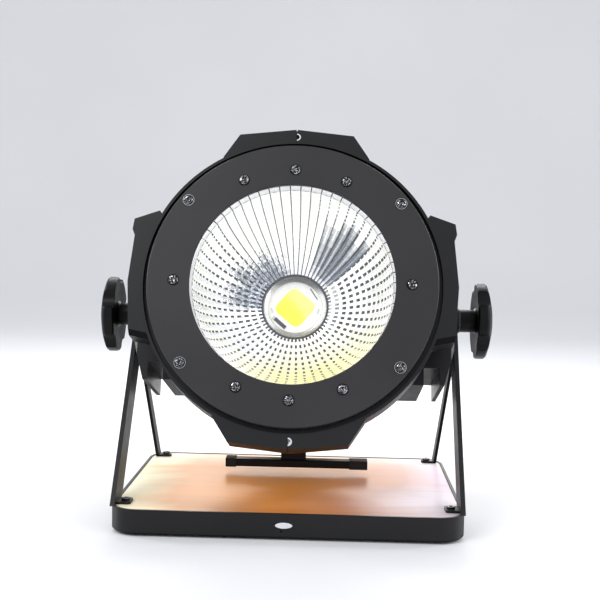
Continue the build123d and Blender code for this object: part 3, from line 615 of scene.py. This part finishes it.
# flat lip that sits under the glass
def fluted_lip():
    prof = [(87.4, -113.3), (96.3, -113.45), (96.3, -112.1), (88.6, -112.1)]
    V, F, IX = [], [], []
    for i in range(NA):
        a0 = 2 * math.pi * (i - 0.5) / NA
        da = 2 * math.pi / NA
        mid = math.degrees(a0 + da / 2) % 360
        g_ = 0.46 / 92.0
        for k, a_ in enumerate((a0, a0 + g_, a0 + da / 2, a0 + da - g_)):
            for r, y in prof:
                V.append((mm(r * math.sin(a_)), mm(y), mm(r * math.cos(a_))))
    n_ = NA * 4
    for c_ in range(n_):
        d_ = (c_ + 1) % n_
        for k in range(4):
            F.append((c_ * 4 + k, c_ * 4 + (k + 1) % 4, d_ * 4 + (k + 1) % 4, d_ * 4 + k))
            mid = (c_ // 4) * 360 / NA
            # painted shade: the lip's groove lines are dark only from the upper left over the top to the right
            dark = ang_in(mid, -60, 118, 6) > 0.5
            IX.append(1 if (c_ % 4 in (0, 3) and dark) else 0)
    return fix_normals(new_obj("reflector_lip", V, F, [M["mirror"], M["groove"]], IX))


lip = fluted_lip()
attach(refl, "head")
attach(lip, "head")
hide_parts("reflector")

# ---------------------------------------------------------------- light source
ring = lathe("led_retaining_ring", [(24.6, -37.6), (24.6, -40.6), (24.9, -41.6), (25.7, -42.5), (26.9, -43.0), (28.1, -42.8), (29.1, -42.0),
                                    (29.7, -40.9), (29.9, -39.6), (29.9, -37.7)], M["ring"], 144)
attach(ring, "head"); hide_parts("led_ring")
seat = lathe("led_ring_shadow_gap", [(29.9, -38.4), (29.9, -41.2), (30.5, -41.9), (31.4, -41.2), (31.4, -38.4)], M["groove"], 128)
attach(seat, "head")

# small generic parts on the white board: a resistor, two solder pads and a locating notch line
def chip(name, x0, z0, x1, z1, w, h, mat, rise=0.0):
    """Low block with bevelled edges between two points on the board (head-local mm)."""
    dx, dz = x1 - x0, z1 - z0
    n_ = math.hypot(dx, dz)
    ux, uz = dx / n_, dz / n_
    px, pz = -uz * w / 2, ux * w / 2
    y0, y1 = -37.5 - rise, -37.5 - rise - h
    b_ = min(w, n_) * 0.14
    vs_, fs_ = [], []
    for y, ins in ((y0, 0.0), (y1 + 0.3 * h, 0.0), (y1, b_)):
        for sx_, sz_ in ((-1, -1), (1, -1), (1, 1), (-1, 1)):
            cx_, cz_ = (x0 + x1) / 2, (z0 + z1) / 2
            hl, hw = n_ / 2 - ins, 1 - 2 * ins / w
            vs_.append((mm(cx_ + sx_ * ux * hl + sz_ * px * hw), mm(y), mm(cz_ + sx_ * uz * hl + sz_ * pz * hw)))
    for k in range(2):
        for q_ in range(4):
            fs_.append((k * 4 + q_, k * 4 + (q_ + 1) % 4, k * 4 + 4 + (q_ + 1) % 4, k * 4 + 4 + q_))
    fs_.append((8, 9, 10, 11))
    o = new_obj(name, vs_, fs_, [mat], smooth=False)
    fix_normals(o)
    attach(o, "head")
    return o


chip("board_resistor", -19.5, -10.0, -8.5, -19.5, 3.4, 1.0, M["dark_steel"])
chip("board_resistor_end", -20.2, -9.4, -18.4, -11.0, 3.5, 1.05, M["alu"])
chip("board_pad_upper", 13.6, 18.6, 20.6, 8.2, 0.9, 0.4, M["dark_steel"])
chip("board_pad_left", -22.2, -1.0, -20.6, -5.4, 1.6, 0.35, M["alu"])
chip("board_pad_right", 20.9, -5.6, 22.0, -1.2, 1.6, 0.35, M["alu"])

# phosphor block: domed square with soft corners
EM_Y, HALF = -37.7, 14.7
rot = math.radians(40)
vs, fs = [], []
N = 28
cy0 = -37.7


def em_point(u_, v_, lift):
    # superellipse-like rounding of the square's corners
    x_, z_ = u_ * HALF, v_ * HALF
    k = max(abs(u_), abs(v_))
    if k > 0:
        p_ = 5.0
        sc = k / ((abs(u_) ** p_ + abs(v_) ** p_) ** (1 / p_))
        x_, z_ = x_ * sc, z_ * sc
    xr = x_ * math.cos(rot) + z_ * math.sin(rot)
    zr = -x_ * math.sin(rot) + z_ * math.cos(rot)
    return (mm(xr), mm(cy0 - lift), mm(zr))


for j in range(N + 1):
    for i in range(N + 1):
        u_, v_ = 2 * i / N - 1, 2 * j / N - 1
        edge = max(abs(u_), abs(v_))
        lift = 1.25 * (1 - edge ** 10) + 0.25 * (1 - edge ** 2)
        vs.append(em_point(u_, v_, lift))
for j in range(N):
    for i in range(N):
        p = j * (N + 1) + i
        fs.append((p, p + 1, p + N + 2, p + N + 1))
em = new_obj("led_phosphor_block", vs, fs, [M["phosphor"]])
fix_normals(em)
em.visible_glossy = False
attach(em, "head"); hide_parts("led_emitter")
# colour of the phosphor: band position measured along the block's own diagonal
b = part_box("led_emitter")
ec = (Vector(b[0]) + Vector(b[1])) / 2
a = ED["mat"]
dirv = HEAD.to_3x3() @ Vector((-math.cos(rot), 0, -math.sin(rot)))
dot = a.n.new("ShaderNodeVectorMath"); dot.operation = 'DOT_PRODUCT'
sub = a.n.new("ShaderNodeVectorMath"); sub.operation = 'SUBTRACT'
sub.inputs[1].default_value = ec
a.l.new(a.tc.outputs["Object"], sub.inputs[0])
a.l.new(sub.outputs["Vector"], dot.inputs[0])
dot.inputs[1].default_value = dirv
wob = a.rng(a.noise(160.0, 3.0, 0.6), -0.0016, 0.0016, 0.3, 0.7)
band = a.rng(a.add(dot.outputs["Value"], wob), 0.0, 1.0, -0.0135, 0.0135)
colr = a.ramp(band, [(0.0, (1.0, 0.99, 0.28)), (0.42, (1.0, 0.985, 0.19)), (0.50, (1.0, 0.97, 0.05)), (1.0, (1.0, 0.95, 0.015))])
a.link(a.mix(1.0, colr, (0.30, 0.30, 0.30), 'MULTIPLY'), "Base Color")
a.link(colr, "Emission Color")
a.link(a.rng(a.noise(900.0, 2.0, 0.5), 0.3, 0.45), "Roughness")
a.set(Emission_Strength=0.80, Specular_IOR_Level=0.3)
a.bump(a.voronoi(1500.0), 0.15, 0.00005)


# ---------------------------------------------------------------- screws
def hex_screw(name, cx, cz, r, h, y0, sock, depth, mat, washer=None):
    """Button head with a real hexagon socket; y0 is the seat; the washer argument is not used."""
    seg = 48
    out = []
    prof = [(r, 0.0), (r, -h * 0.35), (r * 0.94, -h * 0.62), (r * 0.80, -h * 0.86), (r * 0.62, -h * 0.98), (r * 0.52, -h)]
    vs, fs = [], []
    for k, (rr, yy) in enumerate(prof):
        for i in range(seg):
            a_ = 2 * math.pi * i / seg
            vs.append((mm(cx + rr * math.cos(a_)), mm(y0 + yy), mm(cz + rr * math.sin(a_))))
    for k in range(len(prof) - 1):
        for i in range(seg):
            j = (i + 1) % seg
            fs.append((k * seg + i, k * seg + j, (k + 1) * seg + j, (k + 1) * seg + i))

    def hexr(a_, s_):
        t_ = (a_ % (math.pi / 3)) - math.pi / 6
        return s_ * math.cos(math.pi / 6) / math.cos(t_)
    last = (len(prof) - 1) * seg
    rings = [(0.0, 1.0), (-0.12, 0.93), (-depth, 0.90)]
    prev = last
    for dy, sc in rings:
        st = len(vs)
        for i in range(seg):
            a_ = 2 * math.pi * i / seg
            rr = hexr(a_, sock) * sc
            vs.append((mm(cx + rr * math.cos(a_)), mm(y0 - h - dy), mm(cz + rr * math.sin(a_))))
        for i in range(seg):
            j = (i + 1) % seg
            fs.append((prev + i, prev + j, st + j, st + i))
        prev = st
    vs.append((mm(cx), mm(y0 - h + depth * 1.25), mm(cz)))
    c = len(vs) - 1
    for i in range(seg):
        fs.append((prev + i, prev + (i + 1) % seg, c))
    return vs, fs


def screws(name, angles, pcr, r, h, y0, sock, depth, mat, ring_mat=None, ring=None):
    V, F, IX = [], [], []
    for a_ in angles:
        cx, cz = polar(pcr, a_)
        v2, f2 = hex_screw(name, cx, cz, r, h, y0, sock, depth, mat)
        o_ = len(V)
        V += v2
        F += [tuple(q + o_ for q in f) for f in f2]
        IX += [0] * len(f2)
        if ring:
            o_ = len(V)
            r0, r1, hh = ring
            pr = [(r0, 0), (r0, -hh * 0.7), (r0 + 0.2, -hh), (r1 - 0.25, -hh), (r1, -hh * 0.6), (r1, 0)]
            for i in range(48):
                g_ = 2 * math.pi * i / 48
                for rr, yy in pr:
                    V.append((mm(cx + rr * math.cos(g_)), mm(y0 + yy), mm(cz + rr * math.sin(g_))))
            for i in range(48):
                j = (i + 1) % 48
                for k in range(len(pr) - 1):
                    F.append((o_ + i * 6 + k, o_ + i * 6 + k + 1, o_ + j * 6 + k + 1, o_ + j * 6 + k))
                    IX.append(1)
    ob = new_obj(name, V, F, [mat, ring_mat or mat], IX)
    bm = bmesh.new(); bm.from_mesh(ob.data)
    bmesh.ops.recalc_face_normals(bm, faces=bm.faces)
    bm.to_mesh(ob.data); bm.free()
    auto_smooth(ob, 38)
    return ob


small = screws("plate_screws_small_hex", [0, 26, 90, 154, 180, 206, 270, 334], 102.0, 4.5, 2.1, -125.0, 2.2, 1.6,
               M["worn_screw"], M["black_metal"], (4.55, 4.95, 0.35))
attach(small, "head"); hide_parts("plate_screws_small")
large = screws("plate_screws_large_hex", [52, 128, 232, 308], 117.3, 4.3, 2.6, -125.0, 2.3, 1.8,
               M["worn_screw"], M["steel"], (4.5, 5.25, 0.9))
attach(large, "head"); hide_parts("plate_screws_large")

# ---------------------------------------------------------------- stage
def cyc():
    W2, y_front, y_flat, rad, h = 4.0, -4.0, 1.6, 1.2, 3.5
    pts = [(y_front, 0.0), (-1.5, 0.0), (y_flat, 0.0)]
    for k in range(1, 17):
        t_ = math.pi / 2 * k / 16
        pts.append((y_flat + rad * math.sin(t_), rad * (1 - math.cos(t_))))
    pts.append((y_flat + rad, h))
    vs, fs = [], []
    for y, z in pts:
        vs += [(-W2, y, z), (W2, y, z)]
    for i in range(len(pts) - 1):
        fs.append((2 * i, 2 * i + 1, 2 * i + 3, 2 * i + 2))
    return new_obj("studio_sweep", vs, fs, [], smooth=True, head=False)


floor = cyc()
a = Mat("studio_paper")
a.link(a.ramp(a.noise(1.5, 3.0, 0.5), [(0.3, (0.69, 0.69, 0.70)), (0.7, (0.72, 0.72, 0.73))]), "Base Color")
a.link(a.rng(a.noise(40.0, 3.0, 0.5), 0.45, 0.6), "Roughness")
a.set(Specular_IOR_Level=0.35)
floor.data.materials.append(a.m)

world = bpy.data.worlds.new("studio")
bpy.context.scene.world = world
world.use_nodes = True
bg = world.node_tree.nodes["Background"]
bg.inputs["Color"].default_value = (0.93, 0.95, 1.0, 1)
bg.inputs["Strength"].default_value = 0.95


def area(name, loc, target, size, power, color=(1, 1, 1)):
    ld = bpy.data.lights.new(name, 'AREA')
    ld.shape = 'RECTANGLE'
    ld.size, ld.size_y = size
    ld.energy = power
    ld.color = color
    o = bpy.data.objects.new(name, ld)
    bpy.context.scene.collection.objects.link(o)
    o.location = loc
    o.rotation_euler = (Vector(target) - Vector(loc)).to_track_quat('-Z', 'Y').to_euler()
    return o


area("key", (-0.9, -1.1, 1.5), (0, 0, 0.15), (1.0, 0.8), 14)
area("fill", (1.3, -0.9, 0.8), (0, 0, 0.15), (0.9, 1.0), 7, (0.97, 0.98, 1.0))
area("back", (0.0, 1.1, 1.1), (0, 0, 0.2), (1.6, 0.5), 12)
area("deck_light", (0.0, 0.95, 0.36), (0, -0.05, 0.02), (0.5, 0.22), 2.1, (1.0, 0.94, 0.84))
area("rim_left", (-1.2, 0.35, 0.5), (0, 0, 0.2), (0.3, 0.9), 8)
area("rim_right", (1.2, 0.35, 0.5), (0, 0, 0.2), (0.3, 0.9), 8)


def flag(name, corners, shade):
    """Studio flag: a dark card that shows only in reflections."""
    o = new_obj(name, corners, [(0, 1, 2, 3)], [], smooth=False, head=False)
    q = Mat(name + "_cloth")
    q.link(q.ramp(q.noise(8.0, 2.0, 0.5), [(0.3, shade), (0.7, tuple(1.15 * c for c in shade))]), "Base Color")
    q.set(Roughness=0.9, Specular_IOR_Level=0.1)
    o.data.materials.append(q.m)
    o.visible_camera = o.visible_diffuse = o.visible_shadow = o.visible_transmission = False
    return o


flag("flag_floor", [(-0.10, -1.25, 0.002), (0.34, -1.25, 0.002), (0.28, -0.55, 0.002), (-0.06, -0.55, 0.002)], (0.16, 0.18, 0.22))
bpy.context.scene.view_settings.view_transform = 'Standard'
